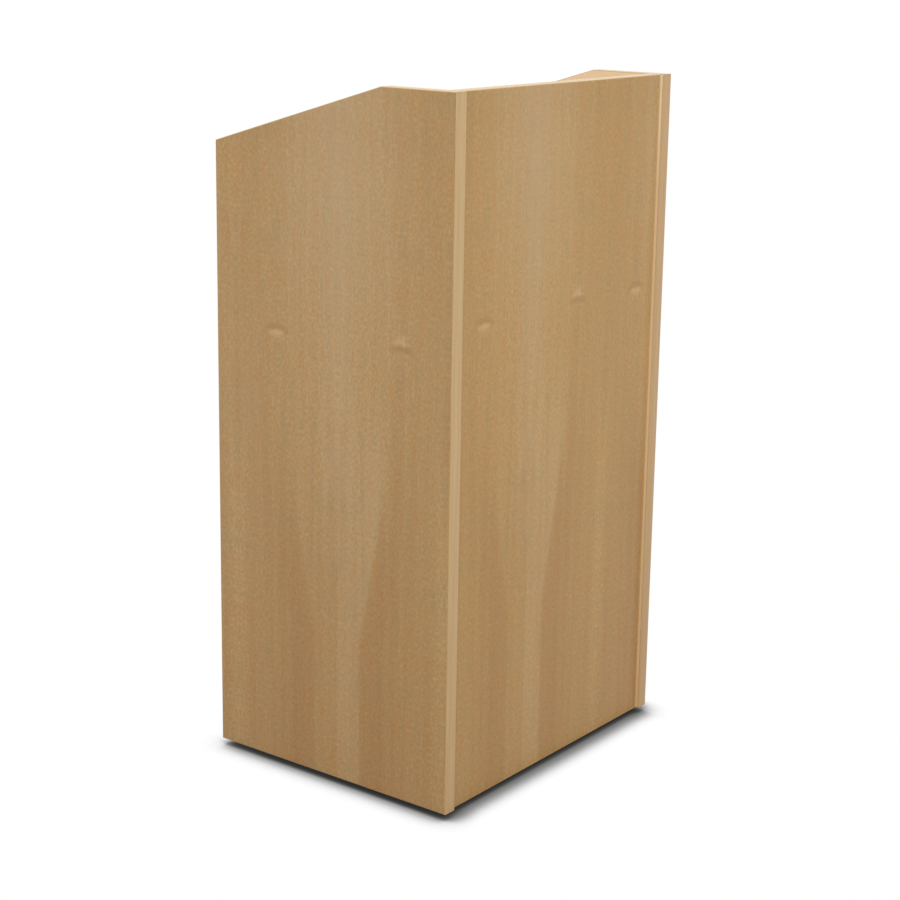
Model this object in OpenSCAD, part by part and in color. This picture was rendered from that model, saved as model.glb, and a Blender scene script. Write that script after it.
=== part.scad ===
// Floor lectern in maple-veneered board on four hidden swivel casters.
// Millimetres, +Z up, origin on the floor under the middle of the cabinet.
// The audience stands on the -Y side, the presenter on the +Y side.

/* [Cabinet] */
// Overall width across the two side panels
cabinet_w = 610; // [540:1:720]
// Overall depth, which is the depth of a side panel
cabinet_d = 494; // [470:1:600]
// Height of a side panel at the audience end
panel_h = 1156; // [950:1:1300]
// Thickness of the side and front panels
panel_t = 25.4; // [22:0.1:32]
// Gap between the panels and the floor
floor_gap = 12; // [6:1:25]
// Length of the level stretch on top of a side panel
flat_len = 145; // [135:1:170]
// Slope of the rest of the side panel's top, in degrees
slope = 16.9; // [10:0.1:22]
// How far the side panels stand proud of the front panel
front_recess = 6; // [2:0.5:12]
// Thickness of the solid maple lipping on the panel edges
lip_t = 3; // [2:0.5:5]
// Radius of the eased arrises
ease_r = 1.2; // [0.5:0.1:1.8]
// Thickness of the boards inside the cabinet
board_t = 19; // [18:0.5:22]
// Distance from the base board to the rear edges of the side panels
base_in = 8; // [4:1:20]
// Glue line of the joints on the slope and under the tyres
glue_line = 0.05; // [0.03:0.01:0.1]

/* [Top] */
// How far the ledge and the reading board lie below the side panels' tops
top_recess = 28; // [20:1:40]
// Height of the book stop above the reading board
stop_h = 14; // [8:1:20]
// Thickness of the book stop
stop_t = 12; // [8:0.5:18]
// Distance from the book stop to the rear edges of the side panels
stop_in = 4; // [2:0.5:10]
// Height of the rail under the reading board
rail_h = 70; // [60:1:100]
// Distance from the rail to the reading board's lower end
rail_in = 2; // [1:1:10]

/* [Grommets] */
// Diameter of the cable holes in the boards
grommet_d = 60; // [40:1:70]
// Wall of the grommet's sleeve
grommet_wall = 2.4; // [1.6:0.1:4]
// Width of the grommet's flange around the hole
flange_w = 4; // [3:0.5:8]
// Thickness of the grommet's flange
flange_t = 2.2; // [1.5:0.1:4]

/* [Shelf] */
// Number of pin holes in each column
pin_holes = 13; // [11:1:15]
// Number of pin holes below the ones that carry the shelf
lower_holes = 5; // [2:1:10]
// Spacing of the pin holes
pin_pitch = 32; // [25:1:36]
// Height of the lowest pin hole above the base board
first_hole = 190; // [150:1:230]
// Diameter of a shelf pin
pin_d = 5; // [4:0.5:6]
// Depth of a pin hole
pin_hole_depth = 10; // [8:0.5:12]
// Distance from a pin column to the shelf's edge
pin_in = 50; // [30:1:70]
// Cable gap between the shelf and the front panel
shelf_gap = 45; // [35:1:70]
// Distance from the shelf to the rear edges of the side panels
shelf_in = 28; // [15:1:60]
// Clearance at each end of the shelf
shelf_play = 1.2; // [1:0.1:2]
// Length of a shelf pin's tongue
tongue_len = 12; // [9:0.5:14]
// Thickness of the tongue
tongue_t = 2; // [1.5:0.1:2.4]
// How far the tongue is wider than the pin
tongue_over = 3; // [2:0.5:4]
// Thickness of a shelf pin's collar
collar_t = 0.8; // [0.6:0.1:0.9]
// How far the collar is wider than the pin
collar_over = 4; // [3:0.5:5]

/* [Fixings] */
// Diameter of a cam housing
cam_d = 15; // [12:0.5:16]
// Distance from the board's end to the middle of a cam
cam_in = 24; // [20:1:30]
// Depth of a cam past the bolt's axis
cam_over = 3.5; // [3:0.1:4]
// Diameter of a cam bolt
bolt_d = 5; // [4:0.5:6]
// Depth of a cam bolt's thread in the side panel
bolt_bite = 11; // [9:0.5:13]
// Diameter of a wooden dowel
dowel_d = 8; // [6:0.5:9]
// Length of a wooden dowel
dowel_len = 30; // [25:1:35]
// Distance from a cam bolt to the dowel beside it
dowel_step = 22; // [18:1:26]
// Radial clearance of a fixing in its hole
fixing_play = 0.1; // [0.05:0.05:0.2]
// Room left at the end of a blind hole
end_room = 1; // [0.5:0.1:1.5]
// Distance from a board's edges to its cam bolts
fix_in = 60; // [50:1:90]
// Distance from the front panel's ends to its outer cam bolts
front_fix_in = 150; // [120:1:200]

/* [Casters] */
// Height of a caster from the floor to the base board
caster_h = 68; // [66:1:80]
// Distance from a swivel axis to the side panel
caster_side_in = 80; // [78:1:95]
// Distance from a front swivel axis to the front panel
caster_front_in = 66; // [60:1:80]
// Distance from a rear swivel axis to the rear edges of the side panels
caster_rear_in = 74; // [72:1:90]
// Distance from the swivel axis to the axle
trail = 20; // [16:0.5:23]
// Length of the mounting plate, along the cabinet's depth
plate_len = 62; // [58:1:70]
// Width of the mounting plate
plate_w = 56; // [54:1:64]
// Thickness of the mounting plate
plate_t = 2.5; // [2:0.1:3.5]
// Radius of the mounting plate's corners
plate_r = 7; // [4:0.5:10]
// Distance from the plate's edges to its slots
slot_in = 7.5; // [6.5:0.5:9]
// Width of a slot
slot_w = 5; // [4.6:0.1:6]
// Length of a slot
slot_len = 8; // [7:0.5:10]
// Shank diameter of a caster screw
screw_d = 4; // [3.5:0.1:4.4]
// Length of a caster screw under its head
screw_len = 15; // [12:0.5:16]
// Diameter of a caster screw's head
screw_head_d = 7.4; // [7:0.1:8.4]
// Height of a caster screw's head
screw_head_h = 2.2; // [1.8:0.1:2.8]

/* [Swivel] */
// Diameter of the bearing balls
ball_d = 4; // [3.5:0.1:4.5]
// Number of balls in a race
balls = 16; // [12:1:18]
// Radius of the ball race
race_r = 14; // [13:0.5:15]
// Diameter of the king pin
king_d = 9; // [8:0.5:10]
// How far the king pin's head is wider than the pin, on the radius
king_over = 3; // [2:0.5:4]
// Height of the king pin's head
king_head_t = 2.6; // [2:0.1:3]
// Thickness of the race pressed under the plate
race_t = 2; // [1.6:0.1:2.4]
// Open gap between the two races
race_gap = 1.4; // [1:0.1:1.6]
// Thickness of the dished crown on the fork
crown_t = 3; // [2.6:0.1:3.5]
// Width of the races outside the balls
race_rim = 3; // [2:0.5:4]

/* [Fork] */
// Sheet thickness of the fork
fork_t = 2.5; // [2:0.1:3]
// Gap between the tyre and a fork leg
fork_side = 2; // [1.2:0.1:3]
// Half length of the fork's top, along the trail
fork_half = 17; // [15:0.5:18]
// Height of the straight cheeks below the fork's top
cheek_h = 3; // [2:0.5:5]
// Radius of the fork leg around the axle
leg_r = 9; // [8:0.5:11]
// Clearance of the hub and the brake lever beside the fork legs
side_play = 0.3; // [0.2:0.1:0.5]

/* [Wheel] */
// Diameter of a wheel
wheel_d = 50; // [48:1:52]
// Width of the tyre
tyre_w = 22; // [18:0.5:24]
// Thickness of the tyre's rubber
tyre_t = 5.5; // [4:0.5:7]
// Radius of the tyre's shoulders
shoulder_r = 4; // [2:0.5:5]
// Thickness of the hub's rim
rim_t = 2.2; // [1.8:0.1:3]
// Thickness of the hub's web
web_t = 3; // [2:0.5:5]
// Diameter of the hub's boss
boss_d = 14; // [12:0.5:16]
// Number of ribs on each face of the hub
hub_ribs = 8; // [5:1:10]
// Thickness of a rib
rib_t = 1.6; // [1.2:0.1:2.4]
// Diameter of the axle
axle_d = 6; // [5:0.5:7]
// Running clearance of a shaft, on the radius
running = 0.05; // [0.03:0.01:0.08]

/* [Brake] */
// Direction of the lever's pivot from the axle, in degrees above the trail
brake_angle = 52; // [48:1:56]
// Distance from the tread to the lever's pivot
brake_out = 5.5; // [5:0.1:6.5]
// Gap between the brake shoe and the tread when it is off
shoe_gap = 4; // [3.6:0.1:4.4]
// Thickness of the shoe
shoe_t = 3.5; // [2.5:0.1:4.5]
// Direction of the shoe's lower end from the axle, in degrees
shoe_end = 12; // [8:1:18]
// Diameter of the lever's pivot pin
lever_pin_d = 4; // [3.5:0.1:4.5]
// Length of the foot plate
pedal_len = 28; // [24:1:30]
// Width of the foot plate
pedal_w = 34; // [28:1:38]
// Thickness of the foot plate
pedal_t = 2.6; // [2:0.1:3.5]
// Upward slant of the foot plate when the brake is off, in degrees
pedal_lift = 10; // [6:1:14]
// Number of grip ribs on the foot plate
grips = 4; // [2:1:4]
// Spacing of the grip ribs
grip_pitch = 4; // [3:0.5:5]
// Radius of a grip rib
grip_r = 0.8; // [0.6:0.1:1.2]

/* [Hidden] */
$fn = 64;
maple = "#BE9765";
solid_maple = "#CDB181";
zinc = "#B9BCBF";
black_plastic = "#2B2B2D";
grey_rubber = "#4A4B4D";
cut = 1; // how far a cutting shape runs past a face

// Planes and lines of the cabinet
inner_x = cabinet_w/2 - panel_t;
y_front = -cabinet_d/2;
y_rear = cabinet_d/2;
z_low = floor_gap;
z_top = floor_gap + panel_h;
y_bend = y_front + flat_len;
front_face = y_front + front_recess;
front_back = front_face + panel_t;

// Outline of a side panel, inset by d. The level top and the slope meet on the
// bisector of the bend, so every inset bend lies on one straight line.
function bend_y(d) = y_bend - d*tan(slope/2);
function slope_z(y, d) = z_top - (y - y_bend)*tan(slope) - d/cos(slope);
function side_outline(d) = [
    [y_front + d, z_low + d], [y_front + d, z_top - d], [bend_y(d), z_top - d],
    [y_rear - d, slope_z(y_rear - d, d)], [y_rear - d, z_low + d]];

// A point given along the reading board, s down the slope and n up from it
reading_o = [bend_y(top_recess), z_top - top_recess];
function on_slope(s, n) = reading_o
    + [s*cos(slope) + n*sin(slope), n*cos(slope) - s*sin(slope)];
mitre_s = board_t*tan(slope/2);
reading_len = (y_rear - stop_in - reading_o[0] - stop_h*sin(slope))/cos(slope)
    - stop_t - glue_line;

// Boards inside
base_z = caster_h;
base_top = base_z + board_t;
base_rear = y_rear - base_in;
shelf_front = front_back + shelf_gap;
shelf_rear = y_rear - shelf_in;
tongue_w = pin_d + tongue_over;
collar_d = pin_d + collar_over;
pin_columns = [shelf_front + pin_in, shelf_rear - pin_in];
shelf_pin_z = base_top + first_hole + lower_holes*pin_pitch;
shelf_z = shelf_pin_z + pin_d/2;
ledge_mid = (front_back + bend_y(top_recess + board_t))/2;
rail_rear = on_slope(reading_len, -board_t)[0] - rail_in;
rail_front = rail_rear - board_t;
rail_low = slope_z(rail_rear, top_recess + board_t) - rail_h;

// Cam fixings: [y, z, direction the cam faces, board thickness]
base_fixes = [for (y = [front_back + fix_in, base_rear - fix_in])
    [y, base_z + board_t/2, -90, board_t]];
front_fixes = [for (z = [base_top + front_fix_in, (base_top + z_top)/2, z_top - front_fix_in])
    [front_face + panel_t/2, z, 0, panel_t]];
ledge_fixes = [[ledge_mid - dowel_step/2, z_top - top_recess - board_t/2, -90, board_t]];
reading_fixes = [for (s = [fix_in, reading_len - 2*fix_in])
    concat(on_slope(s, -board_t/2), [-90 - slope, board_t])];
rail_fixes = [[rail_rear - board_t/2, rail_low + rail_h/2 + dowel_step/2, 180, board_t]];
all_fixes = concat(base_fixes, front_fixes, ledge_fixes, reading_fixes, rail_fixes);

// Dowels beside them: [y, z]
base_dowels = [for (f = base_fixes) [f[0] + dowel_step, f[1]]];
front_dowels = [for (f = front_fixes) [f[0], f[1] - dowel_step]];
ledge_dowels = [for (f = ledge_fixes) [f[0] + dowel_step, f[1]]];
reading_dowels = [for (s = [fix_in, reading_len - 2*fix_in])
    on_slope(s + dowel_step, -board_t/2)];
rail_dowels = [for (f = rail_fixes) [f[0], f[1] - dowel_step]];
all_dowels = concat(base_dowels, front_dowels, ledge_dowels, reading_dowels, rail_dowels);
dowel_bite = dowel_len/3;

// Caster places: [x sign, y]
front_axis = front_back + caster_front_in;
rear_axis = y_rear - caster_rear_in;
caster_x = inner_x - caster_side_in;
front_left = [-caster_x, front_axis];
front_right = [caster_x, front_axis];
rear_left = [-caster_x, rear_axis];
rear_right = [caster_x, rear_axis];
caster_places = [front_left, front_right, rear_left, rear_right];

// Heights in a caster, from the plate down, and its half widths
plate_low = caster_h - plate_t;
race_low = plate_low - race_t;
ball_z = race_low - race_gap/2;
crown_top = race_low - race_gap;
fork_top = crown_top - crown_t;
fork_under = fork_top - fork_t;
axle_z = wheel_d/2;
leg_in = tyre_w/2 + fork_side;
leg_out = leg_in + fork_t;
race_out = race_r + ball_d/2 + race_rim;
king_head_r = king_d/2 + king_over;
axle_head_t = 3.6;
axle_head_r = axle_d*0.95;
tread_r = wheel_d/2;
rim_r = tread_r - tyre_t;

// Brake lever, in the plane of the trail (y) and height (z) of its caster
lever_d = tread_r + brake_out;
lever_y = trail + lever_d*cos(brake_angle);
lever_z = axle_z + lever_d*sin(brake_angle);
lever_boss_r = lever_pin_d/2 + 2;
ear_r = lever_boss_r + 1;

// General shapes
module along_x(x0, x1) translate([x0, 0, 0]) rotate([90, 0, 90]) linear_extrude(x1 - x0) children();
module along_y(y0, y1) translate([0, y1, 0]) rotate([90, 0, 0]) linear_extrude(y1 - y0) children();
module each_side() for (m = [0, 1]) mirror([m, 0, 0]) translate([inner_x, 0, 0]) children();
module each_caster() for (p = caster_places) translate([p[0], p[1], 0]) children();
module outward(p) mirror([p[0] < 0 ? 1 : 0, 0, 0]) children();

// A bar's cross-section with both upper corners rounded
module eased_top_2d(w, h, r) {
    square([w, h - r]);
    translate([r, 0]) square([w - 2*r, h]);
    for (x = [r, w - r]) translate([x, h - r]) circle(r);
}

// A bar's cross-section with the two corners at its far end, +x, rounded
module eased_end_2d(len, h, r) {
    square([len - r, h]);
    translate([0, r]) square([len, h - 2*r]);
    for (y = [r, h - r]) translate([len - r, y]) circle(r);
}

// Holes for the fixings. Local x runs outward from the side panel's inner face.
module at_fix(f) translate([0, f[0], f[1]]) rotate([f[2], 0, 0]) children();
module along_bolt(x0, x1, d) translate([x0, 0, 0]) rotate([0, 90, 0]) cylinder(d = d, h = x1 - x0);
module board_holes(fixes, pegs) each_side() {
    for (f = fixes) at_fix(f) {
        translate([-cam_in, -cam_over - fixing_play, 0]) rotate([-90, 0, 0])
            cylinder(d = cam_d + 2*fixing_play, h = cam_over + f[3]/2 + fixing_play + cut);
        along_bolt(-cam_in, cut, bolt_d + 2);
    }
    for (p = pegs) translate([0, p[0], p[1]])
        along_bolt(dowel_bite - dowel_len - end_room, cut, dowel_d + 2*fixing_play);
}
module panel_holes(fixes, pegs) {
    for (f = fixes) at_fix(f) along_bolt(-cut, bolt_bite + end_room, bolt_d + 2*fixing_play);
    for (p = pegs) translate([0, p[0], p[1]])
        along_bolt(-cut, dowel_bite + end_room, dowel_d + 2*fixing_play);
    for (y = pin_columns, i = [0 : pin_holes - 1])
        translate([0, y, base_top + first_hole + i*pin_pitch])
            along_bolt(-cut, pin_hole_depth, pin_d);
}

// Side panel of veneered board; the lipping closes all its edges
module side_panel() {
    color(maple) difference() {
        along_x(inner_x, inner_x + panel_t) polygon(side_outline(lip_t));
        translate([inner_x, 0, 0]) panel_holes(all_fixes, all_dowels);
    }
}
module side_panel_right() side_panel();
module side_panel_left() mirror([1, 0, 0]) side_panel();

// Lipping: the whole panel with rounded arrises, less the veneered board. Each
// layer of the hull is one step of the quarter round.
module lipping() {
    color(solid_maple) difference() {
        hull() for (a = [0 : 30 : 90]) along_x(
                inner_x + ease_r*(1 - sin(a)), inner_x + panel_t - ease_r*(1 - sin(a)))
            polygon(side_outline(ease_r*(1 - cos(a))));
        along_x(inner_x - cut, inner_x + panel_t + cut) polygon(side_outline(lip_t));
    }
}
module lipping_right() lipping();
module lipping_left() mirror([1, 0, 0]) lipping();

// Front panel, set back between the side panels
module front_panel() color(maple) difference() {
    translate([-inner_x, front_face, z_low])
        cube([2*inner_x, panel_t, panel_h - lip_t]);
    board_holes(front_fixes, front_dowels);
}
module front_lipping() color(solid_maple)
    along_x(-inner_x, inner_x) translate([front_face, z_top - lip_t])
        eased_top_2d(panel_t, lip_t, ease_r);

// Level ledge behind the front panel, mitred to the reading board
module ledge_board() color(maple) difference() {
    along_x(-inner_x, inner_x) polygon([
        [front_back, z_top - top_recess], reading_o, on_slope(mitre_s, -board_t),
        [front_back, z_top - top_recess - board_t]]);
    board_holes(ledge_fixes, ledge_dowels);
    translate([0, ledge_mid, z_top - top_recess - board_t - cut])
        cylinder(d = grommet_d, h = board_t + 2*cut);
}
module reading_board() color(maple) difference() {
    along_x(-inner_x, inner_x) polygon([
        reading_o, on_slope(reading_len, 0), on_slope(reading_len, -board_t),
        on_slope(mitre_s, -board_t)]);
    board_holes(reading_fixes, reading_dowels);
}

// Solid maple stop that also covers the reading board's lower edge
module book_stop() color(solid_maple)
    along_x(-inner_x, inner_x) translate(reading_o) rotate(-slope)
        translate([reading_len + glue_line, -board_t]) eased_top_2d(stop_t, board_t + stop_h, stop_t/3);

// Rail that ties the side panels together under the reading board
module rear_rail() color(solid_maple) difference() {
    along_x(-inner_x, inner_x) polygon([
        [rail_front, rail_low], [rail_rear, rail_low],
        [rail_rear, slope_z(rail_rear, top_recess + board_t + glue_line)],
        [rail_front, slope_z(rail_front, top_recess + board_t + glue_line)]]);
    board_holes(rail_fixes, rail_dowels);
}

// Base board over the casters
module base_board() color(maple) difference() {
    translate([-inner_x, front_back, base_z])
        cube([2*inner_x, base_rear - lip_t - front_back, board_t]);
    board_holes(base_fixes, base_dowels);
    translate([0, front_axis, base_z - cut]) cylinder(d = grommet_d, h = board_t + 2*cut);
    each_caster() at_screws() translate([0, 0, base_z - cut])
        cylinder(d = screw_d + 2*fixing_play, h = screw_len - plate_t + end_room + cut);
}
module base_lipping() color(solid_maple)
    along_x(-inner_x, inner_x) translate([base_rear - lip_t, base_z])
        eased_end_2d(lip_t, board_t, ease_r);

// Loose shelf on four pins
module shelf_board() color(maple)
    translate([shelf_play - inner_x, shelf_front, shelf_z])
        cube([2*(inner_x - shelf_play), shelf_rear - lip_t - shelf_front, board_t]);
module shelf_lipping() color(solid_maple)
    along_x(shelf_play - inner_x, inner_x - shelf_play) translate([shelf_rear - lip_t, shelf_z])
        eased_end_2d(lip_t, board_t, ease_r);
module shelf_pins() color(zinc) each_side()
    for (y = pin_columns) translate([0, y, shelf_pin_z]) {
        along_bolt(0, pin_hole_depth - end_room, pin_d - 2*running);
        intersection() {
            along_bolt(-collar_t, 0, collar_d);
            translate([-2*collar_t, -collar_d, -collar_d]) cube([3*collar_t, 2*collar_d, collar_d + pin_d/2]);
        }
        translate([0, 0, pin_d/2 - tongue_t]) linear_extrude(tongue_t) {
            translate([tongue_w/2 - tongue_len, 0]) circle(d = tongue_w);
            translate([tongue_w/2 - tongue_len, -tongue_w/2])
                square([tongue_len - tongue_w/2 - collar_t/2, tongue_w]);
        }
    }

// Cam fixings that pull the boards against the side panels
module cams() color(zinc) each_side() for (f = all_fixes) at_fix(f) translate([-cam_in, 0, 0])
    difference() {
        translate([0, -cam_over, 0]) rotate([-90, 0, 0])
            cylinder(d = cam_d, h = cam_over + f[3]/2 - 0.4);
        translate([-bolt_d/2, 0, 0]) along_bolt(0, cam_d, bolt_d + 1.4);
        for (a = [0, 90]) translate([0, f[3]/2 - 0.4, 0]) rotate([0, a, 0])
            translate([-cam_d/3, -2, -0.6]) cube([2*cam_d/3, 2 + cut, 1.2]);
    }
module cam_bolts() color(zinc) each_side() for (f = all_fixes) at_fix(f) {
    along_bolt(0, bolt_bite, bolt_d);
    along_bolt(-cam_in + 1, 0, bolt_d - 1);
    along_bolt(-cam_in, -cam_in + 2.5, bolt_d + 0.8);
}
module dowels() color(solid_maple) each_side() for (p = all_dowels)
    translate([0, p[0], p[1]]) along_bolt(dowel_bite - dowel_len, dowel_bite, dowel_d);

// Plastic liner of a cable hole, with its flange on the board's upper face
module grommet(y, z_face) color(black_plastic)
    translate([0, y, z_face]) rotate_extrude() {
        hole_r = grommet_d/2;
        translate([hole_r - fixing_play - grommet_wall, 1 - board_t])
            square([grommet_wall, board_t - 1 + flange_t/2]);
        translate([hole_r - fixing_play - grommet_wall, 0])
            eased_end_2d(grommet_wall + fixing_play + flange_w, flange_t, flange_t/3);
    }
module top_grommet() grommet(ledge_mid, z_top - top_recess);
module base_grommet() grommet(front_axis, base_top);

// Screw and slot places of a caster plate
module at_screws() for (x = [-1, 1], y = [-1, 1])
    translate([x*(plate_w/2 - slot_in), y*(plate_len/2 - slot_in), 0]) children();

// Mounting plates, each with the upper ball race pressed under it
module caster_plates() color(zinc) each_caster() difference() {
    union() {
        translate([0, 0, plate_low]) linear_extrude(plate_t) rounded_plate_2d();
        translate([0, 0, race_low]) cylinder(r = race_out, h = race_t + 0.01);
    }
    translate([0, 0, race_low - cut]) cylinder(d = king_d + 2*fixing_play, h = plate_t + race_t + 2*cut);
    ball_groove();
    at_screws() translate([0, 0, plate_low - cut]) linear_extrude(plate_t + 2*cut) slot_2d();
}
module rounded_plate_2d() {
    square([plate_w - 2*plate_r, plate_len], center = true);
    square([plate_w, plate_len - 2*plate_r], center = true);
    for (x = [-1, 1], y = [-1, 1])
        translate([x*(plate_w/2 - plate_r), y*(plate_len/2 - plate_r)]) circle(plate_r);
}
module slot_2d() {
    square([slot_w, slot_len - slot_w], center = true);
    for (y = [-1, 1]) translate([0, y*(slot_len - slot_w)/2]) circle(d = slot_w);
}
module ball_groove() translate([0, 0, ball_z]) rotate_extrude()
    translate([race_r, 0]) circle(d = ball_d + 4*running);

// Pan-head screws, up through the slots into the base board
module caster_screws() color(zinc) each_caster() at_screws() {
    cross_len = screw_head_d/2;
    cross_w = 0.8;
    translate([0, 0, plate_low]) cylinder(d = screw_d, h = screw_len);
    translate([0, 0, plate_low - screw_head_h]) difference() {
        cylinder(d1 = screw_head_d - screw_head_h, d2 = screw_head_d, h = screw_head_h);
        for (a = [0, 90]) rotate(a) translate([-cross_len/2, -cross_w/2, -cut])
            cube([cross_len, cross_w, cut + screw_head_h/2]);
    }
}

// King pins, riveted flush in the plates and headed under the forks
module king_pins() color(zinc) each_caster() {
    pin_low = fork_under - 0.2;
    translate([0, 0, pin_low]) cylinder(d = king_d, h = caster_h - pin_low);
    translate([0, 0, pin_low - king_head_t]) rotate_extrude()
        mirror([0, 1]) translate([0, -king_head_t]) intersection() {
            square([king_head_r, king_head_t]);
            translate([0, king_head_t - 2.2*king_head_r]) circle(2.2*king_head_r);
        }
}
module race_balls() color(zinc) each_caster() for (i = [0 : balls - 1])
    rotate(i*360/balls) translate([race_r, 0, ball_z]) sphere(d = ball_d, $fn = 24);

// Side view of a fork: its top tapers by straight lines to the axle's eye
function tangent_point(p, c, r, side) =
    let (v = p - c, a = atan2(v[1], v[0]) + side*acos(r/norm(v))) c + r*[cos(a), sin(a)];
axle_c = [trail, axle_z];
lever_c = [lever_y, lever_z];
module fork_side_2d(braked) {
    back = [-fork_half, fork_under - cheek_h];
    front = [fork_half, fork_under - cheek_h];
    polygon([[-fork_half, fork_top], back, tangent_point(back, axle_c, leg_r, 1), axle_c,
        tangent_point(front, axle_c, leg_r, -1), front, [fork_half, fork_top]]);
    translate(axle_c) circle(leg_r);
    if (braked) {
        polygon([[0, fork_top], axle_c, tangent_point(axle_c, lever_c, ear_r, 1), lever_c,
            tangent_point([fork_half, fork_top], lever_c, ear_r, -1), [fork_half, fork_top]]);
        translate(lever_c) circle(ear_r);
    }
}
module arch_2d(half, top, r) {
    translate([-half, 0]) square([2*half, top - r]);
    translate([-half + r, 0]) square([2*(half - r), top]);
    for (x = [-1, 1]) translate([x*(half - r), top - r]) circle(r);
}
module fork(p, braked) color(zinc) translate([p[0], p[1], 0]) difference() {
    union() {
        intersection() {
            along_x(-leg_out, leg_out) fork_side_2d(braked);
            along_y(-fork_half - cut, lever_y + ear_r + cut) difference() {
                arch_2d(leg_out, fork_top, fork_t + 1.5);
                translate([0, -cut]) arch_2d(leg_in, fork_under + cut, 1.5);
            }
        }
        translate([0, 0, fork_top - 0.01]) cylinder(r1 = race_out - 1.5, r2 = race_out, h = 1.2);
        translate([0, 0, fork_top + 1]) cylinder(r = race_out, h = crown_t - 1);
    }
    translate([0, 0, fork_under - cut]) cylinder(d = king_d + 2*running, h = fork_t + crown_t + 2*cut);
    ball_groove();
    translate([0, trail, axle_z]) along_bolt(-leg_out - cut, leg_out + cut, axle_d + 2*running);
    if (braked) translate([0, lever_y, lever_z])
        along_bolt(-leg_out - cut, leg_out + cut, lever_pin_d + 2*running);
}
module fork_front_left() fork(front_left, false);
module fork_front_right() fork(front_right, false);
module fork_rear_left() fork(rear_left, true);
module fork_rear_right() fork(rear_right, true);

// Axle: a hex bolt through both legs and a nut, with its head outward
module axle(p) color(zinc) translate([p[0], p[1] + trail, axle_z]) outward(p) {
    nut_t = 3.2;
    along_bolt(-leg_out - nut_t - 1.5, leg_out + 0.1, axle_d);
    translate([leg_out + 0.1, 0, 0]) rotate([0, 90, 0]) cylinder(r = axle_head_r, h = axle_head_t, $fn = 6);
    translate([-leg_out - 0.1 - nut_t, 0, 0]) rotate([0, 90, 0]) difference() {
        cylinder(r = axle_head_r, h = nut_t, $fn = 6);
        translate([0, 0, -cut]) cylinder(d = axle_d + 2*running, h = nut_t + 2*cut);
    }
}
module axle_front_left() axle(front_left);
module axle_front_right() axle(front_right);
module axle_rear_left() axle(rear_left);
module axle_rear_right() axle(rear_right);

// Wheels: a ribbed plastic hub with a moulded-on tyre
module at_axle(p) translate([p[0], p[1] + trail, axle_z]) rotate([0, 90, 0]) children();
module hub(p) color(black_plastic) at_axle(p) difference() {
    boss_half = leg_in - side_play;
    rim_half = tyre_w/2 - 0.5;
    rib_in = 2;
    union() {
        rotate_extrude() {
            translate([rim_r - rim_t, -rim_half]) square([rim_t, 2*rim_half]);
            translate([0, -web_t/2]) square([rim_r - rim_t/2, web_t]);
            translate([0, -boss_half]) square([boss_d/2, 2*boss_half]);
        }
        for (i = [0 : hub_ribs - 1]) rotate(i*360/hub_ribs)
            translate([boss_d/2 - 1, -rib_t/2, rib_in - rim_half])
                cube([rim_r - rim_t/2 - boss_d/2 + 1, rib_t, 2*(rim_half - rib_in)]);
    }
    translate([0, 0, -boss_half - cut]) cylinder(d = axle_d + 2*running, h = 2*boss_half + 2*cut);
}
module tyre(p) color(grey_rubber) at_axle(p) rotate_extrude() intersection() {
    translate([rim_r + glue_line, -tyre_w/2]) square([tyre_t, tyre_w]);
    union() {
        translate([rim_r - cut, -tyre_w/2]) square([tyre_t + cut - shoulder_r, tyre_w]);
        translate([rim_r, shoulder_r - tyre_w/2]) square([tyre_t, tyre_w - 2*shoulder_r]);
        for (y = [-1, 1]) translate([tread_r - shoulder_r, y*(tyre_w/2 - shoulder_r)]) circle(shoulder_r);
    }
}
module hub_front_left() hub(front_left);
module hub_front_right() hub(front_right);
module hub_rear_left() hub(rear_left);
module hub_rear_right() hub(rear_right);
module tyre_front_left() tyre(front_left);
module tyre_front_right() tyre(front_right);
module tyre_rear_left() tyre(rear_left);
module tyre_rear_right() tyre(rear_right);

// Brake lever: the foot plate behind the pivot goes down, and the shoe below
// the pivot swings into the tread
module ring_sector_2d(r0, r1, a0, a1) intersection() {
    difference() {
        circle(r1);
        circle(r0);
    }
    reach = 2*r1;
    polygon([[0, 0], reach*[cos(a0), sin(a0)], reach*[cos((a0 + a1)/2), sin((a0 + a1)/2)],
        reach*[cos(a1), sin(a1)]]);
}
module brake_lever(p) color(black_plastic) translate([p[0], p[1], 0]) {
    arm_half = leg_in - side_play;
    difference() {
        union() {
            along_x(-arm_half, arm_half) {
                translate(axle_c) ring_sector_2d(tread_r + shoe_gap, tread_r + shoe_gap + shoe_t,
                    shoe_end, brake_angle);
                translate(lever_c) circle(lever_boss_r);
                translate(lever_c) rotate(pedal_lift) translate([0, -pedal_t/2]) square([ear_r + 3, pedal_t]);
            }
            translate([0, lever_y, lever_z]) rotate([pedal_lift, 0, 0]) foot_plate();
        }
        translate([0, lever_y, lever_z]) along_bolt(-arm_half - cut, arm_half + cut,
            lever_pin_d + 2*running);
    }
}
module foot_plate() {
    start = ear_r + 1;
    corner = 5;
    translate([0, 0, -pedal_t/2]) linear_extrude(pedal_t) {
        translate([-pedal_w/2, start]) square([pedal_w, pedal_len - corner]);
        translate([-pedal_w/2 + corner, start]) square([pedal_w - 2*corner, pedal_len]);
        for (x = [-1, 1]) translate([x*(pedal_w/2 - corner), start + pedal_len - corner]) circle(corner);
    }
    for (i = [1 : grips]) translate([0, start + pedal_len - corner - i*grip_pitch, pedal_t/2])
        rotate([0, 90, 0]) cylinder(r = grip_r, h = pedal_w - 3*corner, center = true);
}
module brake_lever_left() brake_lever(rear_left);
module brake_lever_right() brake_lever(rear_right);
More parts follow.
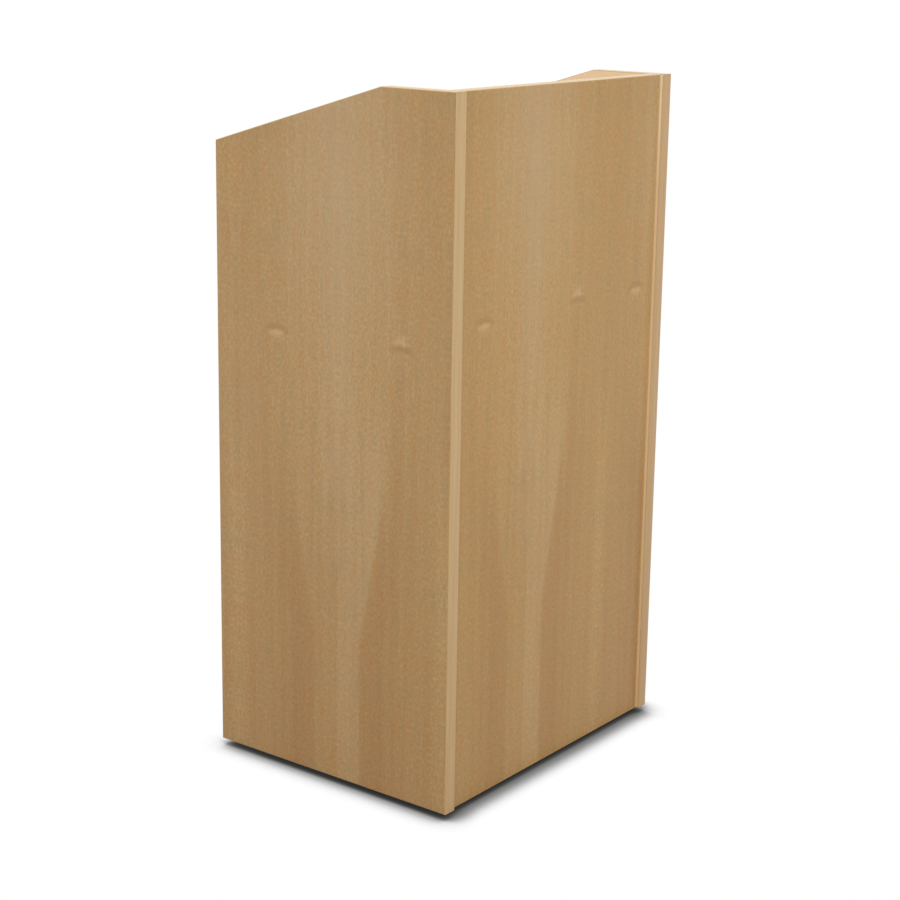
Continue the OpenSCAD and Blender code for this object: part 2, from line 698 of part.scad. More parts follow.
module brake_pin(p) color(zinc) translate([p[0], p[1] + lever_y, lever_z]) {
    along_bolt(-leg_out - 0.8, leg_out + 0.8, lever_pin_d);
    for (m = [0, 1]) mirror([m, 0, 0]) along_bolt(leg_out + 0.1, leg_out + 1.3, lever_pin_d + 2.4);
}
module brake_pin_left() brake_pin(rear_left);
module brake_pin_right() brake_pin(rear_right);

side_panel_left();
side_panel_right();
lipping_left();
lipping_right();
front_panel();
front_lipping();
ledge_board();
reading_board();
book_stop();
rear_rail();
base_board();
base_lipping();
shelf_board();
shelf_lipping();
shelf_pins();
cams();
cam_bolts();
dowels();
top_grommet();
base_grommet();
caster_plates();
caster_screws();
king_pins();
race_balls();
fork_front_left();
fork_front_right();
fork_rear_left();
fork_rear_right();
axle_front_left();
axle_front_right();
axle_rear_left();
axle_rear_right();
hub_front_left();
hub_front_right();
hub_rear_left();
hub_rear_right();
tyre_front_left();
tyre_front_right();
tyre_rear_left();
tyre_rear_right();
brake_lever_left();
brake_lever_right();
brake_pin_left();
brake_pin_right();
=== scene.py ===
"""Looks of the floor lectern: maple veneer, solid maple edges and four casters under the base.

Everything is in metres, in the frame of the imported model: the audience stands on the -Y side,
the presenter on the +Y side, and the floor is z = 0.
"""

import math

import bpy
import numpy as np
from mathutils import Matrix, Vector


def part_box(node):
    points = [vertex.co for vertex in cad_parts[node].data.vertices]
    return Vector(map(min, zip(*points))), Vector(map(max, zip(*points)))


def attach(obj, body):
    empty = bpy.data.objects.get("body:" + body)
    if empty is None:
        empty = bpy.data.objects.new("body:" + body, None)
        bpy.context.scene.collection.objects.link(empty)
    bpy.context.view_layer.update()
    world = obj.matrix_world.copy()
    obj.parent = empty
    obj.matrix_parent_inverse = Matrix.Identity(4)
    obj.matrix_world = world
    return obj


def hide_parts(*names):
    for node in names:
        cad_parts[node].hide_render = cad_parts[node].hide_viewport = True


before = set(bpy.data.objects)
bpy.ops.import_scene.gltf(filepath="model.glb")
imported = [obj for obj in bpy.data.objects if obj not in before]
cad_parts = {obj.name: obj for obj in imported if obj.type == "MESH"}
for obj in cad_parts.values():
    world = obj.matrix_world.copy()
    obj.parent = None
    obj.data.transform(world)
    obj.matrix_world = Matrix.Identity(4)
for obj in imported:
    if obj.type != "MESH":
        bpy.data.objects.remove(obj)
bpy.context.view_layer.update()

MM = 0.001
PLACES = ["front_left", "front_right", "rear_left", "rear_right"]

# Side panel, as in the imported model
PANEL_T = 25.4 * MM
INNER_X = 279.6 * MM
PANEL_FRONT = -247 * MM
PANEL_REAR = 247 * MM
PANEL_LOW = 12 * MM
PANEL_TOP = 1168 * MM
FLAT_LEN = 145 * MM
SLOPE = math.radians(16.9)
LIP_T = 3 * MM
EASE_R = 1.2 * MM

# Front panel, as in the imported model
FRONT_Y = -241 * MM

# How far the edge strips stand off at each end, so that a fine line shows in their joints
JOINT_GAP = 0.03 * MM

# The middle of the side panels and of the front panel, where one face's veneer gives way to the other's
SIDE_MID = INNER_X + PANEL_T / 2
FRONT_MID = FRONT_Y + PANEL_T / 2

# Veneer, in mm
LEAF_W = 221.0  # a leaf's width
SLICE_STEP = 30.0  # how far apart in the pattern's depth neighbouring leaves lie
INNER_SHIFT = 158.0  # how far the inner faces' leaves lie from the outer faces'
SWAY = 26.0  # how far the grain sways to the side
KNOT_IN = 131.0  # how far a pin knot lies from the flame joint
KNOT_W, KNOT_H = 20, 9  # half a knot's width and half its height

# Where a flame joint lies across each board, and where along it the flame ends, in mm. On the side
# panels and the front panel that is the height of their row of knots
LEFT_JOINT, RIGHT_JOINT, SIDE_KNOTS = -17, -41, 765
FRONT_JOINT, FRONT_KNOTS = -85, 808
TOP_JOINT, TOP_END = -40, 420
SHELF_JOINT, SHELF_END = -75, 260

# Floor: its radius, how far out its shadow is worked out, and where the painted shade and warmth of its
# bounced light have faded
FLOOR_R = 14.0
SHADOW_REACH = 0.75
FADE_START, FADE_END = 0.8, 2.2

# Shadow on the floor: how open the floor is at a spot, and its grey there
SHADOW_TONES = (
    (0.05, "#2B2B2A"), (0.3, "#3E3E3D"), (0.42, "#51514F"), (0.55, "#71716F"), (0.65, "#959595"),
    (0.7, "#ABABAB"), (0.75, "#C1C1C1"), (0.8, "#D6D6D6"), (0.86, "#EAEAEA"), (0.93, "#F8F8F8"),
    (1.0, "#FFFFFF"))


def make_camera():
    """The photograph's viewpoint, fitted to the corners of the panels."""
    data = bpy.data.cameras.new("camera")
    data.sensor_width = 36
    data.lens = 77.97
    data.shift_y = -0.05
    camera = bpy.data.objects.new("camera", data)
    camera.location = (-2.6213, -1.9998, 1.3887)
    camera.rotation_euler = [math.radians(a) for a in (76.528, -0.9, -52.619)]
    bpy.context.scene.collection.objects.link(camera)
    bpy.context.scene.camera = camera


def linear(code):
    """An sRGB hex code as linear red, green, blue and alpha."""
    parts = np.array([int(code[i:i + 2], 16) for i in (1, 3, 5)]) / 255
    high = ((parts + 0.055) / 1.055) ** 2.4
    return (*np.where(parts <= 0.04045, parts / 12.92, high), 1.0)


def add(tree, kind, inputs=None, **settings):
    """Adds one node. Settings are its own properties. An input takes a value, a socket to link,
    or a node, whose first output is linked."""
    made = tree.nodes.new("ShaderNode" + kind)
    for key, value in settings.items():
        setattr(made, key, value)
    for key, value in (inputs or {}).items():
        if isinstance(value, bpy.types.Node):
            value = value.outputs[0]
        if isinstance(value, bpy.types.NodeSocket):
            tree.links.new(value, made.inputs[key])
        else:
            made.inputs[key].default_value = value
    return made


def empty_tree(owner):
    """The emptied node tree of a material or a world."""
    owner.use_nodes = True
    owner.node_tree.nodes.clear()
    return owner.node_tree


def new_material(name):
    """A material and its empty node tree."""
    material = bpy.data.materials.new(name)
    return material, empty_tree(material)


def finish_material(tree, inputs):
    """Ends a material's tree with its shader. What is even all over is set on the shader itself."""
    shader = add(tree, "BsdfPrincipled", inputs)
    add(tree, "OutputMaterial", {"Surface": shader})


def set_tones(ramp, tones, tint=(1.0, 1.0, 1.0)):
    """Sets the stops of a colour ramp from the lowest up, each a place and a hex code, times a tint."""
    stops = ramp.color_ramp.elements
    stops[0].position = tones[0][0]
    stops[1].position = tones[-1][0]
    for place, _ in tones[1:-1]:
        stops.new(place)
    for stop, (_, code) in zip(stops, tones):
        stop.color = np.array(linear(code)) * (*tint, 1.0)


def in_mm(tree, source=None):
    """Object coordinates, or those of another source, turned from metres to mm."""
    if source is None:
        source = add(tree, "TexCoord").outputs["Object"]
    return add(tree, "Mapping", {"Vector": source, "Scale": (1000, 1000, 1000)})


def cloud(tree, place, size, detail=2.0):
    """Cloudy variation from 0 to 1, in patches of size along the three axes of place, all in mm."""
    scale = [1 / s for s in size]
    placed = add(tree, "Mapping", {"Vector": place, "Scale": scale})
    return add(tree, "TexNoise", {"Vector": placed, "Scale": 1.0, "Detail": detail})


def product(tree, *steps):
    """A product of smooth steps. Each step is a value, where it is 0 and where it is 1."""
    share = 1.0
    for value, none, full in steps:
        share = add(tree, "MapRange", {0: value, 1: none, 2: full, 4: share},
                    interpolation_type="SMOOTHSTEP")
    return share


def masks(tree, shapes):
    """The product of the smooth steps under each name."""
    return {name: product(tree, *steps) for name, steps in shapes.items()}


def total(tree, start, parts):
    """start plus each value times its weight."""
    for value, weight in parts:
        start = add(tree, "Math", {0: value, 1: weight, 2: start}, operation="MULTIPLY_ADD")
    return start


def coloured(tree, colour, layers):
    """A colour with other colours laid over it. Each layer is its shares, each with its weight, a hex
    code and a way to mix."""
    for shares, code, way in layers:
        share = total(tree, 0.0, shares)
        colour = add(tree, "Mix", {0: share, 6: colour, 7: linear(code)}, data_type="RGBA",
                     blend_type=way).outputs[2]
    return colour


def seen_directly(tree):
    """1 for what the camera sees straight, in a reflection or through something clear, otherwise 0."""
    path = add(tree, "LightPath").outputs
    others = ("Is Glossy Ray", "Is Transmission Ray")
    return total(tree, path["Is Camera Ray"], [(path[ray], 1.0) for ray in others])


def pin_knots(tree, t, h, grain, turned, plain):
    """The shares of two shapes on the outer face: a brown arch, and above it, or below it on turned
    leaves, a pale painted highlight, the knot's relief sheen, which flips between book-matched leaves.
    kx and kz run from -1 to 1 over a knot's width and height, shifted by a cloud that bends its
    outline, and the arch is where kz + kx * kx / 2 is near 0.3."""
    blur = cloud(tree, grain, (11, 9, 30), 1)
    kx = total(tree, -KNOT_IN / KNOT_W - 0.35, [(t, 1 / KNOT_W), (blur, 0.7)])
    kz = total(tree, -0.5, [(h, 1 / KNOT_H), (blur, 1.0)])
    kx_square = add(tree, "Math", {0: kx, 1: kx}, operation="MULTIPLY")
    arch = total(tree, -0.3, [(kz, 1.0), (kx_square, 0.5)])
    arch_square = add(tree, "Math", {0: arch, 1: arch}, operation="MULTIPLY")
    # The pale side is a painted highlight, and it flips on turned leaves as the sheen of book-matched
    # leaves does
    flip = total(tree, 1.0, [(turned, -2.0)])
    sheen_wedge = add(tree, "Math", {0: arch, 1: flip}, operation="MULTIPLY")
    narrow = total(tree, 0.0, [(kx_square, 1.0), (sheen_wedge, 0.3)])
    outer = (plain, 0.4, 0.2)
    return (product(tree, (arch_square, 0.7, 0.0), (kx_square, 1.8, 0.4), outer),
            product(tree, (sheen_wedge, 0.0, 0.9), (sheen_wedge, 3.2, 0.9), (narrow, 1.3, 0.2), outer))


def maple_veneer(name, across, along, joint, knot_z, inner_from=None, knots=True, tint=(1.0, 1.0, 1.0),
                 half_width=None):
    """Book-matched maple veneer under satin lacquer.

    Sliced maple is fine and even: faint long streaks, short brown flecks, and flames of slightly
    redder wood where the knife met the rings at a low angle. Neighbouring leaves mirror each other
    at their joint, so the pattern is drawn in t, the distance from the nearest flame joint, and h,
    the height above the row of pin knots, both in mm. Turned leaves are painted a shade darker and
    the pale side of each knot flips with them, a painted sheen. across is an axis and its sign, along
    is an axis, and past inner_from, which is an axis, a place and a sign, the board's other face is
    of paler leaves, also painted paler as painted light for the brighter inside, and palest near its
    top. A board with a half_width is painted paler where it meets its neighbours at either side, a
    painted lift of the shade in the recess there.
    tint shifts a board's colours a little, because no two boards take the lacquer alike.
    """
    material, tree = new_material(name)
    place = add(tree, "TexCoord").outputs["Object"]
    axes = add(tree, "SeparateXYZ", {0: place}).outputs
    axis, sign = across
    u = total(tree, -sign * joint, [(axes[axis], sign * 1000)])
    h = total(tree, -knot_z, [(axes[along], 1000)])
    plain = 0.0
    if inner_from is not None:
        third, middle, way = inner_from
        blend = way * 0.15 * MM
        plain = add(tree, "MapRange", {0: axes[third], 1: middle - blend, 2: middle + blend})
        u = total(tree, u, [(plain, INNER_SHIFT)])

    # Leaves: distance from the flame joint, and whether the leaf is a turned one
    t = add(tree, "Math", {0: u, 1: LEAF_W}, operation="PINGPONG")
    leaf = add(tree, "Math", {0: u, 1: LEAF_W}, operation="DIVIDE")
    leaf = add(tree, "Math", {0: leaf}, operation="FLOOR")
    turned = add(tree, "Math", {0: leaf, 1: 1.0}, operation="PINGPONG")
    depth = add(tree, "Math", {0: leaf, 1: SLICE_STEP}, operation="MULTIPLY")
    grain = add(tree, "CombineXYZ", {0: t, 1: h, 2: depth})
    swayed = total(tree, t, [(cloud(tree, grain, (70, 420, 300)), SWAY)])
    wood = add(tree, "CombineXYZ", {0: swayed, 1: h, 2: depth})

    # Flame: the edge of the redder wood runs away from the joint as it rises, and past is the distance
    # beyond that edge. The zones are the red wood beyond it and the pale wood within it, the joint, its
    # stem below the flame, the top and the far rim of a leaf, and a streak on the leaves not turned
    rise = product(tree, (h, -560, -170))
    past = total(tree, -56.0, [(swayed, 1.0), (rise, -60.0)])
    zones = masks(tree, {
        "red": ((past, -6, 18), (past, 130, 15), (h, -120, -470)),
        "pale": ((past, -110, -20), (past, 10, -6), (h, -1100, -600), (h, -40, -260), (turned, 1.3, 0.0)),
        "joint": ((t, 185, 40), (h, -420, -60)),
        "stem": ((t, 75, 30), (h, -400, -560)),
        "top": ((h, 262, 325),),
        "rim": ((t, 194, 213), (h, -110, -330)),
        "streak": ((t, 112, 124), (t, 142, 132), (h, -5, -60), (h, -330, -200), (turned, 1, 0)),
    })

    # Flecks of maple are about 1 mm wide. speckle draws them coarser, so that they show in the render
    bands = cloud(tree, wood, (14, 520, 300), 3)
    streaks = cloud(tree, wood, (2.4, 48, 300), 3)
    speckle = cloud(tree, wood, (4.2, 6, 300), 3)
    flecks = cloud(tree, wood, (0.9, 9, 300))
    wave = add(tree, "Math", {0: total(tree, 0.0, [(past, 0.8), (bands, 14.0)])}, operation="SINE")
    pores = add(tree, "MapRange", {0: flecks, 1: 0.6, 2: 0.74}, interpolation_type="SMOOTHSTEP")
    # Turned leaves are painted a shade darker: painted sheen, as book-matched leaves catch the light
    # alternately
    tone = total(tree, -0.155, [
        (zones["joint"], 0.09), (zones["pale"], 0.07), (zones["stem"], 0.04), (zones["rim"], 0.10),
        (zones["top"], -0.045), (zones["red"], -0.12), (zones["streak"], -0.07),
        (bands, 0.3), (streaks, 0.12), (speckle, 0.8), (wave, 0.01), (turned, -0.02), (pores, -0.06)])
    ramp = add(tree, "ValToRGB", {0: tone})
    set_tones(ramp, [(0.0, "#9A7140"), (0.5, "#B28D58"), (1.0, "#CBAC77")], tint)

    # Tints: patches, the joint, the upper part, the inner face with its painted light, the knots with
    # their painted highlight, and the sides painted paler against the recess shade
    warm = cloud(tree, wood, (15, 60, 300), 4)
    mottle = cloud(tree, wood, (40, 90, 300))
    tints = masks(tree, {"orange": ((warm, 0.45, 0.7),), "grey": ((warm, 0.55, 0.3),),
                         "joint": ((t, 46, 16), (h, -480, -170), (mottle, 0.15, 0.6)),
                         "upper": ((t, 190, 40), (h, -80, 240))})
    layers = [
        ([(tints["orange"], 1.0)], "#FFF7EA", "MULTIPLY"),
        ([(tints["grey"], 1.0)], "#F7FAF8", "MULTIPLY"),
        ([(tints["joint"], 0.16), (zones["pale"], 0.12)], "#B9A88E", "MIX"),
        ([(zones["red"], 0.4)], "#FFF8EE", "MULTIPLY"),
        ([(tints["upper"], 0.2)], "#B69E80", "MIX"),
    ]
    # The inner face is of paler leaves, and this mix is also painted light for the brighter inside; near
    # the top it is a painted highlight
    if inner_from is not None:
        painted_light_inner_top = product(tree, (plain, 0.2, 1.0), (h, 200, 330))
        layers += [([(plain, 0.74)], "#FFE3B6", "MIX"), ([(painted_light_inner_top, 0.5)], "#FFEFD2", "MIX")]
    # Knots: a brown arch, and a pale side that is a painted highlight
    if knots:
        arch, sheen_wedge = pin_knots(tree, t, h, grain, turned, plain)
        layers += [([(arch, 0.42)], "#986A38", "MIX"), ([(sheen_wedge, 0.34)], "#D6B588", "MIX")]
    # Painted light: near its two sides the board is painted paler, lifting the shade that falls in the
    # recess by the side panels
    if half_width is not None:
        beside = add(tree, "Math", {0: axes[axis]}, operation="ABSOLUTE")
        painted_recess_lift = product(tree, (beside, half_width - 7 * MM, half_width))
        layers.append(([(painted_recess_lift, 0.5)], "#CFB48A", "MIX"))
    colour = coloured(tree, ramp.outputs[0], layers)
    gloss = add(tree, "MapRange", {0: flecks, 1: 0.3, 2: 0.8, 3: 0.34, 4: 0.44})
    relief = total(tree, 0.0, [(streaks, 1.0), (pores, -0.8)])
    bump = add(tree, "Bump", {"Height": relief, "Strength": 0.12, "Distance": 0.1 * MM})
    finish_material(tree, {"Base Color": colour, "Roughness": gloss, "IOR": 1.45, "Normal": bump})
    return material


def solid_hardwood(name, light, dark, on_uv=False):
    """Solid maple under satin lacquer, for edges, the book stop and the rail, or beech for dowels.

    Sawn hardwood is paler than the veneer and has fine straight streaks along its length. On the
    edge strips the pattern reads the grain UV map, whose v runs along the strip. Elsewhere the
    grain runs along X.
    """
    material, tree = new_material(name)
    place = in_mm(tree, add(tree, "UVMap", uv_map="grain") if on_uv else None)
    order = (1, 0, 2) if on_uv else (0, 1, 2)
    sizes = [[size[i] for i in order] for size in ((110, 2.2, 2.2), (400, 7, 7), (7, 0.7, 0.7))]
    streaks = cloud(tree, place, sizes[0], 3)
    bands = cloud(tree, place, sizes[1])
    flecks = cloud(tree, place, sizes[2])
    pores = add(tree, "MapRange", {0: flecks, 1: 0.6, 2: 0.74}, interpolation_type="SMOOTHSTEP")
    tone = total(tree, -0.02, [(streaks, 0.5), (bands, 0.54), (pores, -0.14)])
    ramp = add(tree, "ValToRGB", {0: tone})
    set_tones(ramp, [(0.0, dark), (1.0, light)])
    gloss = add(tree, "MapRange", {0: flecks, 1: 0.3, 2: 0.8, 3: 0.26, 4: 0.38})
    bump = add(tree, "Bump", {"Height": streaks, "Strength": 0.1, "Distance": 0.1 * MM})
    finish_material(tree, {"Base Color": ramp, "Roughness": gloss, "IOR": 1.5, "Normal": bump})
    return material


def plated_steel(name, code, dull_code, roughness):
    """Pressed or turned steel with a thin plated coat. The passivation lies thicker in blotches about
    14 mm wide, and drawing marks under 1 mm break up the reflections."""
    material, tree = new_material(name)
    place = in_mm(tree)
    blotch = cloud(tree, place, (14, 14, 14), 3)
    marks = cloud(tree, place, (0.8, 0.8, 5))
    dull = product(tree, (blotch, 0.35, 0.7))
    colour = coloured(tree, linear(code), [([(dull, 1.0)], dull_code, "MIX")])
    gloss = total(tree, roughness - 0.1, [(blotch, 0.12), (marks, 0.1)])
    bump = add(tree, "Bump", {"Height": marks, "Strength": 0.15, "Distance": 0.05 * MM})
    finish_material(tree, {"Base Color": colour, "Metallic": 1.0, "Roughness": gloss, "Normal": bump})
    return material


def moulded_plastic(name, code, worn_code, roughness, grain_mm):
    """Injection-moulded plastic with a spark-eroded grain, and paler scuffs in patches a few mm wide."""
    material, tree = new_material(name)
    place = in_mm(tree)
    grain = cloud(tree, place, (grain_mm,) * 3)
    scuffs = cloud(tree, place, (6, 2, 9), 4)
    worn = product(tree, (scuffs, 0.56, 0.8))
    colour = coloured(tree, linear(code), [([(worn, 0.4)], worn_code, "MIX")])
    gloss = total(tree, roughness - 0.04, [(scuffs, 0.16)])
    bump = add(tree, "Bump", {"Height": grain, "Strength": 0.3, "Distance": 0.08 * MM})
    finish_material(tree, {"Base Color": colour, "Roughness": gloss, "IOR": 1.46, "Normal": bump})
    return material


def tyre_rubber(name):
    """Grey thermoplastic rubber, matt, with floor dust rubbed into the tread. On the wheel UV map v runs
    across the tyre from 0 to 1, with the tread in its middle."""
    material, tree = new_material(name)
    uv = add(tree, "UVMap", uv_map="wheel")
    v = add(tree, "SeparateXYZ", {0: uv}).outputs["Y"]
    place = in_mm(tree)
    dust = cloud(tree, place, (3, 3, 3), 4)
    dusty = product(tree, (v, 0.2, 0.36), (v, 0.8, 0.64), (dust, 0.35, 0.8))
    colour = coloured(tree, linear("#55565A"), [([(dusty, 1.0)], "#7E7D79", "MIX")])
    gloss = total(tree, 0.66, [(dust, 0.2)])
    grain = cloud(tree, place, (0.4, 0.4, 0.4))
    bump = add(tree, "Bump", {"Height": grain, "Strength": 0.3, "Distance": 0.1 * MM})
    finish_material(tree, {"Base Color": colour, "Roughness": gloss, "IOR": 1.5, "Normal": bump})
    return material


def new_piece(name, points, faces, uv_name, uvs, materials, slots, body, replaced):
    """A piece from arrays of points, faces, one UV pair a point and one material slot a face, smooth
    but for its edges."""
    mesh = bpy.data.meshes.new(name)
    mesh.from_pydata(points.tolist(), [], [[int(i) for i in f] for f in faces])
    layer = mesh.uv_layers.new(name=uv_name)
    corners = np.zeros(len(mesh.loops), np.int32)
    mesh.loops.foreach_get("vertex_index", corners)
    layer.data.foreach_set("uv", uvs[corners].astype(np.float32).ravel())
    for material in materials:
        mesh.materials.append(material)
    mesh.polygons.foreach_set("material_index", np.asarray(slots, np.int32))
    mesh.polygons.foreach_set("use_smooth", np.ones(len(mesh.polygons), bool))
    mesh.set_sharp_from_angle(angle=math.radians(35))
    mesh.update()
    piece = bpy.data.objects.new(name, mesh)
    bpy.context.scene.collection.objects.link(piece)
    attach(piece, body)
    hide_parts(replaced)


def edge_strips(name, node, ends, across, materials):
    """Solid maple strips on the edge of a board, each carried straight between its two ends.

    The profile is a flat strip 3 mm thick and as wide as the board, whose outer corners are quarter
    rounds. A point of it has an inset from the board's outline and a place across the board. At an
    end, given by a corner and a slant, the point lies at corner + inset * slant + place * across, so
    that slants along the bisectors make mitres. Each end is drawn in by a hair, which shows as a
    fine line in the joint. The two faces flush with the board carry its veneer, the second material,
    as on a board that is lipped first and veneered after.
    """
    turn = np.linspace(0, math.pi / 2, 7)
    near, far = EASE_R * (1 - np.sin(turn)), EASE_R * (1 - np.cos(turn))
    inset = np.concatenate([[LIP_T], near, far, [LIP_T]])
    reach = np.concatenate([[0], far, PANEL_T - near, [PANEL_T]])
    n = len(inset)
    ring = np.arange(n)
    points, faces, uvs, slots = [], [], [], []
    for k, (start, end) in enumerate(ends):
        length = np.linalg.norm(end[0] - start[0])
        along = (end[0] - start[0]) / length
        base = 2 * n * k
        for (corner, slant), hair in ((start, JOINT_GAP), (end, -JOINT_GAP)):
            placed = corner + inset[:, None] * slant + reach[:, None] * across + hair * along
            points.append(placed)
            # Each strip reads another stretch of the pattern
            uvs.append(np.column_stack([reach + inset + 0.031 * k, (placed - start[0]) @ along + 0.7 * k]))
        quads = np.column_stack([ring, (ring + 1) % n, (ring + 1) % n + n, ring + n]) + base
        caps = [ring[::-1] + base, ring + n + base]
        outward = np.cross(along, across) @ start[1]
        if outward < 0:
            quads = quads[:, ::-1]
            caps = [c[::-1] for c in caps]
        faces += list(quads) + caps
        # The first quad and the last but one are flush with the board, and the last is glued to it
        slots += [1] + [0] * (n - 3) + [1, 0] + [0, 0]
    points, uvs = np.concatenate(points), np.concatenate(uvs)
    new_piece(name, points, faces, "grain", uvs, materials, slots, "cabinet", node)


def side_outline(inset):
    """The side panel's corners in y and z, inset by a distance, from the lower front one upward. The
    level top and the slope stay parallel to themselves, so their bend moves along its bisector."""
    bend = PANEL_FRONT + FLAT_LEN - inset * math.tan(SLOPE / 2)
    rear = PANEL_REAR - inset
    front = PANEL_FRONT + inset
    top = PANEL_TOP - inset
    low = PANEL_LOW + inset
    rear_top = PANEL_TOP - (rear - PANEL_FRONT - FLAT_LEN) * math.tan(SLOPE) - inset / math.cos(SLOPE)
    return np.array([[front, low], [front, top], [bend, top], [rear, rear_top], [rear, low]])


def side_edges(side, name, node, materials):
    """The five strips around a side panel."""
    outer = side_outline(0)
    slants = (side_outline(LIP_T) - outer) / LIP_T
    x = side * INNER_X
    corners = [(np.array([x, *c]), np.array([0, *s])) for c, s in zip(outer, slants)]
    ends = [(corners[k - 1], corners[k]) for k in (1, 2, 3, 4, 0)]
    edge_strips(name, node, ends, np.array([side, 0, 0]), materials)


def front_edge(name, node, materials):
    """The strip on the top of the front panel."""
    down = np.array([0, 0, -1.0])
    ends = [(np.array([x, FRONT_Y, PANEL_TOP]), down) for x in (-INNER_X, INNER_X)]
    edge_strips(name, node, [ends], np.array([0, 1.0, 0]), materials)


def tyre(place, material):
    """A moulded tyre: a profile of radius and place across the wheel, turned about the axle.

    The profile has a moulded step near the rim, quarter-round shoulders, a flat tread and the fine
    groove that the mould's parting line leaves in its middle. At an angle a about the axle, which
    runs along X, a point of it lies at radius * cos(a) in Y and radius * sin(a) in Z from the centre.
    """
    node = "tyre_" + place
    low, high = [np.array(corner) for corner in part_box(node)]
    centre = (low + high) / 2
    radius, half = (high[2] - low[2]) / 2, (high[0] - low[0]) / 2
    thickness, shoulder, land = 5.45 * MM, 4 * MM, 3 * MM
    step, step_start, step_end = 0.5 * MM, 0.6 * MM, 0.9 * MM
    groove = 0.2 * MM
    bore = radius - thickness
    wall = [[bore, half - step], [bore + step_start, half - step], [bore + step_end, half]]
    turn = np.linspace(0, math.pi / 2, 8)
    arc = np.column_stack([np.sin(turn), np.cos(turn)]) * shoulder + [radius - shoulder, half - shoulder]
    tread = [[radius, land], [radius, 2 * groove], [radius - groove, 0.0]]
    right = np.concatenate([wall, arc, tread])
    profile = np.concatenate([right, right[-2::-1] * [1, -1]])
    m, n = 96, len(profile)
    angle = 2 * math.pi * np.arange(m) / m
    x = np.tile(centre[0] + profile[:, 1], m)
    y = (centre[1] + np.outer(np.cos(angle), profile[:, 0])).ravel()
    z = (centre[2] + np.outer(np.sin(angle), profile[:, 0])).ravel()
    i, j = np.meshgrid(np.arange(m), np.arange(n), indexing="ij")
    i2, j2 = (i + 1) % m, (j + 1) % n
    faces = np.stack([i * n + j, i2 * n + j, i2 * n + j2, i * n + j2], -1).reshape(-1, 4)
    around = np.repeat(angle / (2 * math.pi), n)
    over = np.tile((profile[:, 1] + half) / (2 * half), m)
    new_piece("rubber_tyre_" + place, np.column_stack([x, y, z]), faces, "wheel",
              np.column_stack([around, over]), [material], np.zeros(len(faces)),
              "wheel_" + place, node)


def dress(material, *nodes):
    """Gives CAD nodes a material."""
    for name in nodes:
        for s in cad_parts[name].material_slots:
            s.material = material


def make_floor():
    """A white floor. To the camera and in reflections it is white, with a painted shadow that is dark
    close to whatever stands on it, a little more so at the front than at the left. As a source of
    bounced light it is painted darker and warm under and round the lectern, as painted shade, and
    paler further off. From below it is clear, so that the underside can be looked at."""
    material, tree = new_material("studio_floor")
    place = add(tree, "TexCoord").outputs["Object"]
    away = add(tree, "VectorMath", {0: place}, operation="LENGTH").outputs["Value"]
    leaning = add(tree, "CombineXYZ", {0: -0.28, 1: 0.12, 2: 0.95})
    close = add(tree, "AmbientOcclusion", {"Distance": 0.05, "Normal": leaning}, samples=24)
    wide = add(tree, "AmbientOcclusion", {"Distance": 0.3}, samples=32)
    outside = product(tree, (wide.outputs["AO"], 0.04, 0.34))
    ramp = add(tree, "ValToRGB", {0: total(tree, 0.0, [(close.outputs["AO"], outside)])})
    set_tones(ramp, SHADOW_TONES)
    near = add(tree, "Math", {0: away, 1: SHADOW_REACH}, operation="LESS_THAN")
    plain = add(tree, "Emission", {"Color": (1, 1, 1, 1)})
    seen = add(tree, "MixShader", {0: near, 1: plain, 2: add(tree, "Emission", {"Color": ramp})})
    # Painted shade for bounced light: darker and warm close to the lectern, paler further off
    far = product(tree, (away, FADE_START, FADE_END))
    bounce = coloured(tree, linear("#A28E7B"), [([(far, 1.0)], "#E6E6E6", "MIX")])
    lit = add(tree, "BsdfDiffuse", {"Color": bounce})
    above = add(tree, "MixShader", {0: seen_directly(tree), 1: lit, 2: seen})
    below = add(tree, "NewGeometry").outputs["Backfacing"]
    mixed = add(tree, "MixShader", {0: below, 1: above, 2: add(tree, "BsdfTransparent")})
    add(tree, "OutputMaterial", {"Surface": mixed})
    mesh = bpy.data.meshes.new("studio_floor")
    a = np.linspace(0, 2 * math.pi, 64, endpoint=False)
    rim = FLOOR_R * np.column_stack([np.cos(a), np.sin(a), 0 * a])
    mesh.from_pydata(rim.tolist(), [], [list(range(len(rim)))])
    mesh.materials.append(material)
    floor = bpy.data.objects.new("studio_floor", mesh)
    bpy.context.scene.collection.objects.link(floor)


def make_light():
    """A plain bright room: an even white surround, and one broad soft light nearly overhead."""
    world = bpy.data.worlds.new("studio")
    tree = empty_tree(world)
    strength = add(tree, "MapRange", {0: seen_directly(tree), 3: 0.84, 4: 1.0})
    background = add(tree, "Background", {"Color": (1, 1, 1, 1), "Strength": strength})
    add(tree, "OutputWorld", {"Surface": background})
    bpy.context.scene.world = world
    data = bpy.data.lights.new("overhead", "SUN")
    data.energy = 2.2
    data.angle = math.radians(14)
    lamp = bpy.data.objects.new("overhead", data)
    lamp.rotation_euler = (math.radians(9.1), math.radians(-5), 0)
    bpy.context.scene.collection.objects.link(lamp)


make_camera()
make_light()
make_floor()
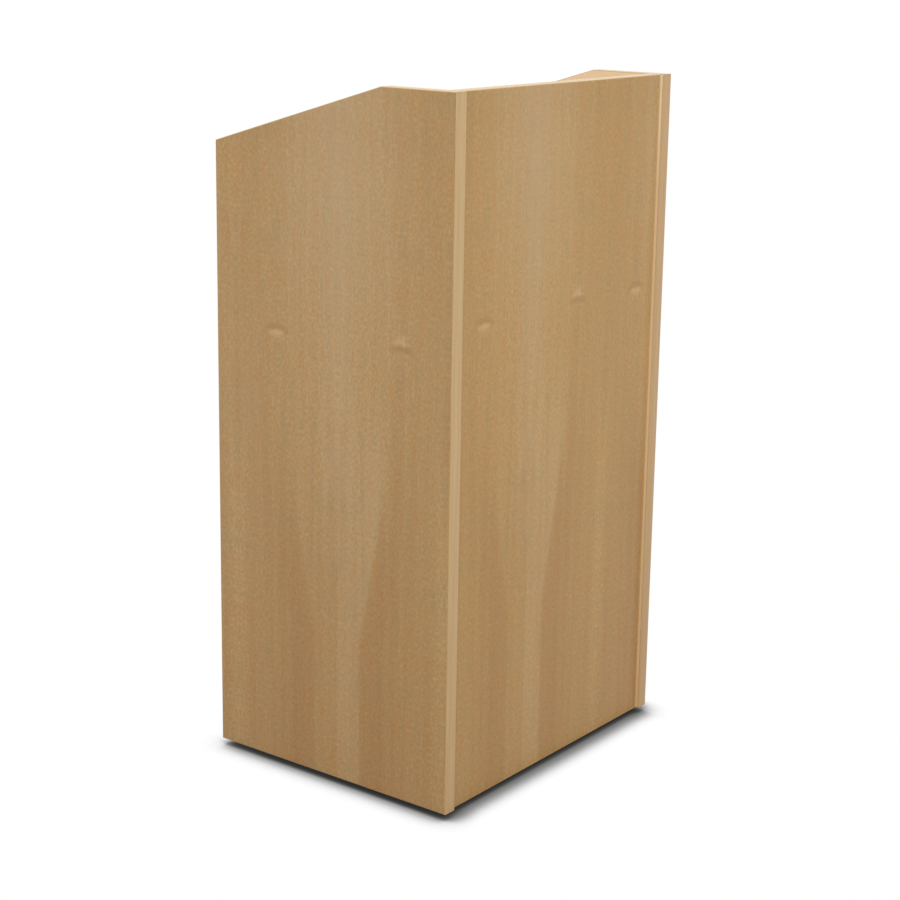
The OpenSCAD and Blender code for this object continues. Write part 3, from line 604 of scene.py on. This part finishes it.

# The shelves' inner face begins below them, so that the paler leaves, partly painted light, cover them all
# round
veneer_left = maple_veneer("maple_veneer_left", ("Y", -1), "Z", LEFT_JOINT, SIDE_KNOTS,
                           ("X", -SIDE_MID, 1), tint=(0.958, 0.99, 1.065))
veneer_right = maple_veneer("maple_veneer_right", ("Y", -1), "Z", RIGHT_JOINT, SIDE_KNOTS,
                            ("X", SIDE_MID, -1))
veneer_front = maple_veneer("maple_veneer_front", ("X", 1), "Z", FRONT_JOINT, FRONT_KNOTS,
                            ("Y", FRONT_MID, 1), tint=(0.96, 0.953, 0.825), half_width=INNER_X)
veneer_boards = maple_veneer("maple_veneer_boards", ("Y", 1), "X", TOP_JOINT, TOP_END, knots=False)
veneer_shelves = maple_veneer("maple_veneer_shelves", ("Y", 1), "X", SHELF_JOINT, SHELF_END,
                              ("Z", -1, 1), knots=False)
maple_bars = solid_hardwood("solid_maple_bars", "#D5B88A", "#A88150")
maple_edges = solid_hardwood("solid_maple_edges", "#D1B684", "#A47E4A", on_uv=True)
maple_edges_right = solid_hardwood("solid_maple_edges_right", "#CBAC7A", "#9F7642", on_uv=True)
dress(veneer_left, "side_panel_left")
dress(veneer_right, "side_panel_right")
dress(veneer_front, "front_panel")
dress(veneer_boards, "ledge_board", "reading_board")
dress(veneer_shelves, "base_board", "shelf_board")
dress(maple_bars, "book_stop", "rear_rail", "base_lipping", "shelf_lipping")
side_edges(-1, "edge_strips_left", "lipping_left", [maple_edges, veneer_left])
side_edges(1, "edge_strips_right", "lipping_right", [maple_edges_right, veneer_right])
front_edge("edge_strip_front", "front_lipping", [maple_edges, veneer_front])

beech = solid_hardwood("raw_beech", "#D9B48A", "#A87C50")
nickel = plated_steel("nickel_plated_steel", "#D2CDC2", "#B9B2A4", 0.3)
zinc = plated_steel("zinc_plated_steel", "#C6CACD", "#A9AEB3", 0.38)
nylon = moulded_plastic("black_nylon", "#1B1B1D", "#3A3A3C", 0.45, 0.5)
hub_plastic = moulded_plastic("grey_polypropylene", "#4E4F53", "#6C6D70", 0.42, 0.6)
rubber = tyre_rubber("grey_rubber_tyre")
dress(beech, "dowels")
dress(nickel, "shelf_pins", "cams", "cam_bolts", "caster_screws")
dress(zinc, "caster_plates", "king_pins", "race_balls", "brake_pin_left", "brake_pin_right",
      *["fork_" + p for p in PLACES], *["axle_" + p for p in PLACES])
dress(nylon, "top_grommet", "base_grommet", "brake_lever_left", "brake_lever_right")
dress(hub_plastic, *["hub_" + p for p in PLACES])
for where in PLACES:
    tyre(where, rubber)

bpy.context.scene.view_settings.view_transform = "Standard"
